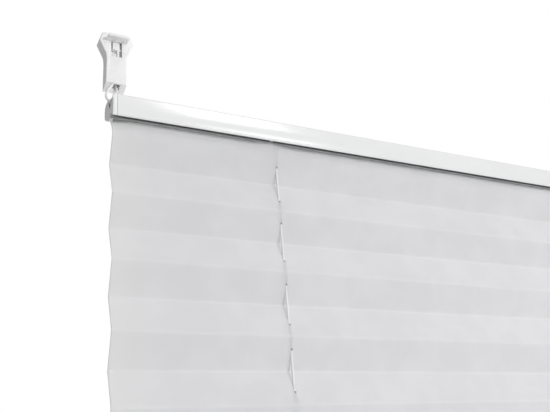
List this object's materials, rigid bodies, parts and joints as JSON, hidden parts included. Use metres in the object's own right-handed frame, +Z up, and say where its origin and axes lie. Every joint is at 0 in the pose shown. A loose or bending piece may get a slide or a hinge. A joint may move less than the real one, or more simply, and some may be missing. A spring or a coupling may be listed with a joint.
{
  "type": "pleated blind",
  "caption": "Tensioned pleated fabric blind between two slim sliding rails, held by cords on small shoes that screw to a window frame.",
  "frame": {"origin": "centre of the screw hole in the back face of the upper left tension shoe", "axes": "+X along the rails to the right as seen from the room, +Y into the window frame, +Z up"},
  "size_m": [0.8102, 0.0247, 0.9994],
  "materials": {
    "rail_white": "gloss white powder coat on extruded aluminium",
    "strip_plastic": "satin white plastic",
    "cap_plastic": "satin moulded white plastic",
    "shoe_plastic": "satin moulded white plastic",
    "pleat_cloth": "matt white polyester weave",
    "cord_white": "white braided polyester"
  },
  "bodies": {
    "window_shoes": {"tension_shoe_upper_left": "shoe_plastic", "cord_holder_upper_left": "shoe_plastic", "tension_shoe_upper_right": "shoe_plastic", "cord_holder_upper_right": "shoe_plastic", "tension_shoe_lower_left": "shoe_plastic", "cord_holder_lower_left": "shoe_plastic", "tension_shoe_lower_right": "shoe_plastic", "cord_holder_lower_right": "shoe_plastic", "cord_left": "cord_white", "cord_right": "cord_white"},
    "top_rail_unit": {"top_rail": "rail_white", "top_fabric_strip": "strip_plastic", "top_end_cap_left": "cap_plastic", "top_cord_guide_left": "cap_plastic", "top_end_cap_right": "cap_plastic", "top_cord_guide_right": "cap_plastic", "top_handle": "cap_plastic", "pleated_fabric": "pleat_cloth"},
    "bottom_rail_unit": {"bottom_rail": "rail_white", "bottom_fabric_strip": "strip_plastic", "bottom_end_cap_left": "cap_plastic", "bottom_cord_guide_left": "cap_plastic", "bottom_end_cap_right": "cap_plastic", "bottom_cord_guide_right": "cap_plastic", "bottom_handle": "cap_plastic"}
  },
  "joints": [
    {"name": "top_rail_slide", "type": "slide", "parent": "window_shoes", "child": "top_rail_unit", "axis": [0, 0, 1], "range_m": [-0.41, 0], "deforming": ["pleated_fabric", "cord_left", "cord_right"]},
    {"name": "bottom_rail_slide", "type": "slide", "parent": "window_shoes", "child": "bottom_rail_unit", "axis": [0, 0, 1], "range_m": [0, 0.41], "deforming": ["pleated_fabric", "cord_left", "cord_right"]}
  ]
}
